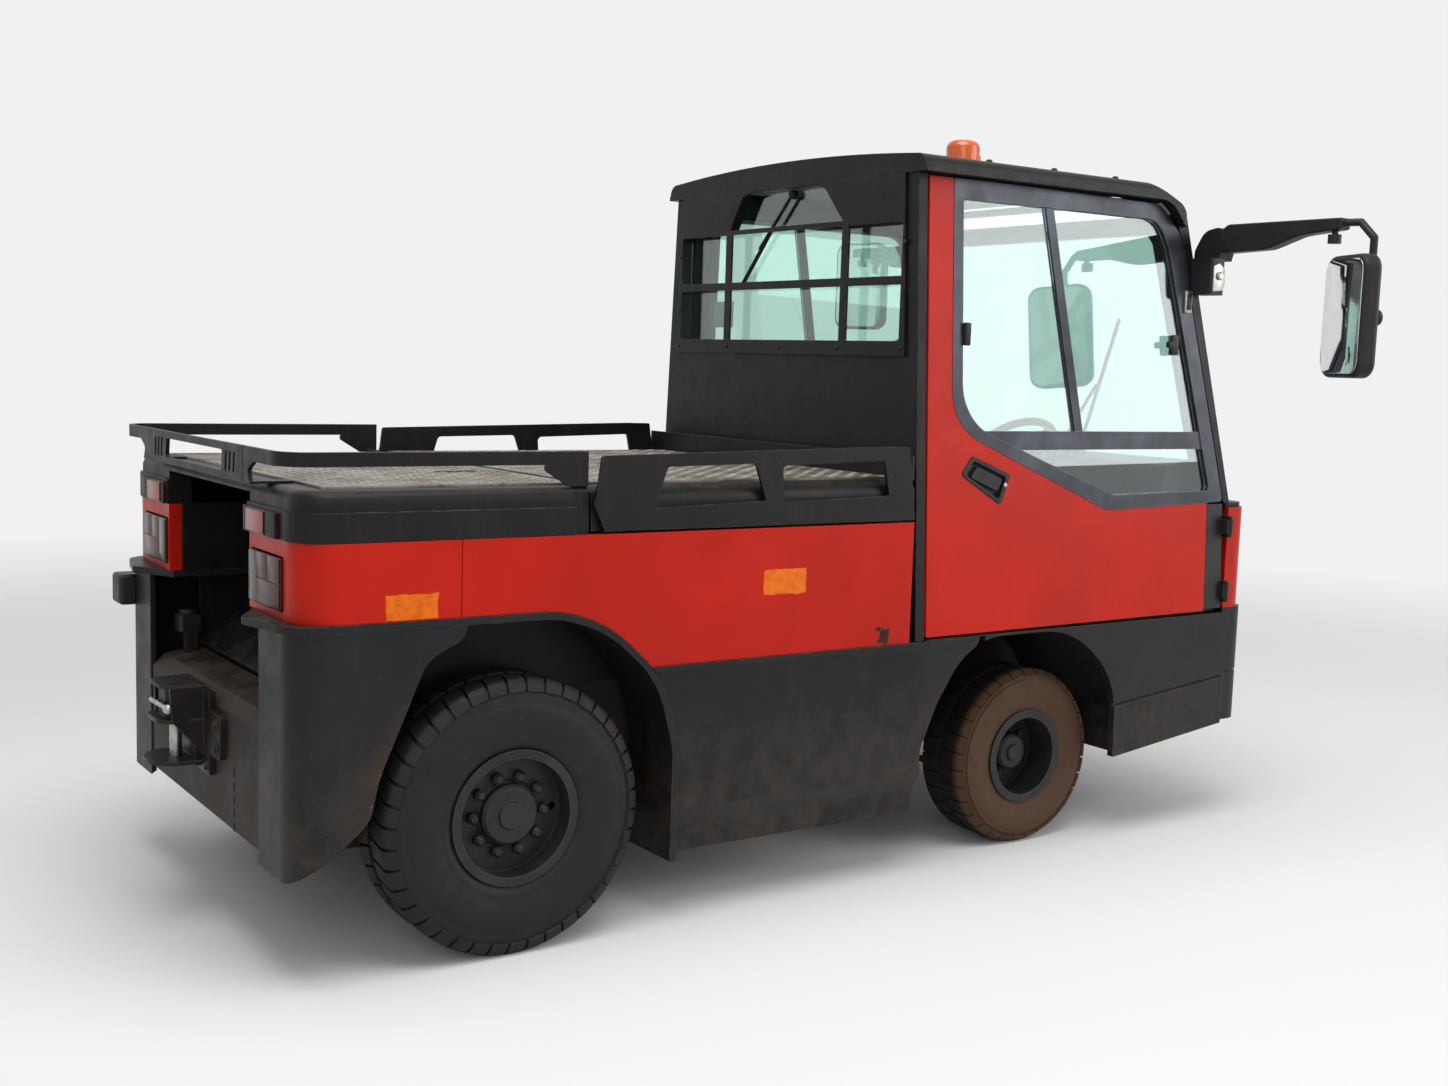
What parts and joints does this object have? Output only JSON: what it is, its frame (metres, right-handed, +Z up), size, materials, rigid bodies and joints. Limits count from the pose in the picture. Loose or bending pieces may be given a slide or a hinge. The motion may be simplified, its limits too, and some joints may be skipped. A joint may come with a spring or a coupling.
{
  "type": "airport tow tractor",
  "caption": "Battery-electric tow tractor with an enclosed cab at the front, a railed load deck over the battery, steered front wheels and a rear pin coupling.",
  "frame": {"origin": "on the floor below the middle of the vehicle's length and width", "axes": "+X forward, +Y to the left, +Z up"},
  "size_m": [3.371, 2.5754, 2.18],
  "materials": {
    "bright_steel": "bright worn steel",
    "red_paint": "gloss enamel, chipped and dusty",
    "black_paint": "satin enamel, scuffed",
    "grey_paint": "satin enamel with rust at the edges",
    "frame_steel": "dull black paint with dust",
    "cast_iron": "rough cast, dirty",
    "tread_plate": "worn chequered steel",
    "rear_tyre_rubber": "worn solid rubber",
    "front_tyre_rubber": "solid rubber under brown dust",
    "rim_paint": "black rim paint under dust",
    "window_trim": "dark anodised frame with rubber seal",
    "tinted_glass": "green-tinted safety glass",
    "lamp_plastic": "red lamp lens",
    "headlamp_lens": "clear lamp lens",
    "beacon_amber": "amber lens",
    "seat_vinyl": "black vinyl",
    "cab_plastic": "moulded black plastic",
    "battery_case": "plain battery box"
  },
  "bodies": {
    "chassis": {"frame": "frame_steel", "battery": "battery_case", "rear_axle": "cast_iron", "front_axle": "cast_iron", "rear_fenders": "grey_paint", "corner_panels": "red_paint", "rear_lamps": "lamp_plastic", "rear_body": "black_paint", "side_panels": "red_paint", "skirts": "grey_paint", "rear_deck": "black_paint", "rear_deck_plate": "tread_plate", "rear_rails": "black_paint", "rear_wall": "black_paint", "window_guard": "black_paint", "floor": "black_paint", "cab_frame": "black_paint", "cab_glass": "tinted_glass", "roof": "black_paint", "front_panel": "red_paint", "cowl": "black_paint", "front_lower": "grey_paint", "front_fenders": "grey_paint", "headlamps": "headlamp_lens", "dash": "cab_plastic", "steering": "cab_plastic", "seat_base": "frame_steel", "seat": "seat_vinyl", "mirrors": "cab_plastic", "beacon": "beacon_amber", "coupling": "cast_iron", "coupling_pin": "bright_steel", "tower_fittings": "cab_plastic"},
    "battery_lid": {"lid": "black_paint", "lid_plate": "tread_plate", "lid_rails": "black_paint"},
    "right_door": {"door_r": "red_paint", "door_trim_r": "window_trim", "door_fittings_r": "cab_plastic", "door_glass_r": "tinted_glass"},
    "left_door": {"door_l": "red_paint", "door_trim_l": "window_trim", "door_fittings_l": "cab_plastic", "door_glass_l": "tinted_glass"},
    "rear_wheel_right": {"tyre_rear_r": "rear_tyre_rubber", "wheel_rear_r": "rim_paint"},
    "rear_wheel_left": {"tyre_rear_l": "rear_tyre_rubber", "wheel_rear_l": "rim_paint"},
    "knuckle_right": {"knuckle_r": "cast_iron"},
    "knuckle_left": {"knuckle_l": "cast_iron"},
    "front_wheel_right": {"tyre_front_r": "front_tyre_rubber", "wheel_front_r": "rim_paint"},
    "front_wheel_left": {"tyre_front_l": "front_tyre_rubber", "wheel_front_l": "rim_paint"},
    "steering_rod": {"track_rod": "cast_iron"}
  },
  "joints": [
    {"name": "rear_right_spin", "type": "hinge", "parent": "chassis", "child": "rear_wheel_right", "pos_m": [-0.9995, -0.5875, 0.338], "axis": [0, 1, 0], "continuous": true},
    {"name": "rear_left_spin", "type": "hinge", "parent": "chassis", "child": "rear_wheel_left", "pos_m": [-0.9995, 0.5875, 0.338], "axis": [0, 1, 0], "continuous": true},
    {"name": "steer_right", "type": "hinge", "parent": "chassis", "child": "knuckle_right", "pos_m": [0.7755, -0.405, 0.268], "axis": [0, 0, 1], "range_deg": [-36, 36]},
    {"name": "steer_left", "type": "hinge", "parent": "chassis", "child": "knuckle_left", "pos_m": [0.7755, 0.405, 0.268], "axis": [0, 0, 1], "range_deg": [-36, 36]},
    {"name": "rod_shift", "type": "slide", "parent": "chassis", "child": "steering_rod", "axis": [0, 1, 0], "range_m": [-0.0692, 0.0692]},
    {"name": "front_right_spin", "type": "hinge", "parent": "knuckle_right", "child": "front_wheel_right", "pos_m": [0.7755, -0.492, 0.268], "axis": [0, 1, 0], "continuous": true},
    {"name": "front_left_spin", "type": "hinge", "parent": "knuckle_left", "child": "front_wheel_left", "pos_m": [0.7755, 0.492, 0.268], "axis": [0, 1, 0], "continuous": true},
    {"name": "right_door_hinge", "type": "hinge", "parent": "chassis", "child": "right_door", "pos_m": [1.5305, -0.692, 1.3], "axis": [0, 0, 1], "range_deg": [0, 50]},
    {"name": "left_door_hinge", "type": "hinge", "parent": "chassis", "child": "left_door", "pos_m": [1.5305, 0.692, 1.3], "axis": [0, 0, -1], "range_deg": [0, 50]},
    {"name": "lid_hinge", "type": "hinge", "parent": "chassis", "child": "battery_lid", "pos_m": [-0.2995, 0.69, 1.016], "axis": [-1, 0, 0], "range_deg": [0, 75]}
  ],
  "couplings": [
    {"joint": "steer_left", "follows": "steer_right", "ratio": 1},
    {"joint": "rod_shift", "follows": "steer_right", "m_per_rad": -0.11}
  ]
}
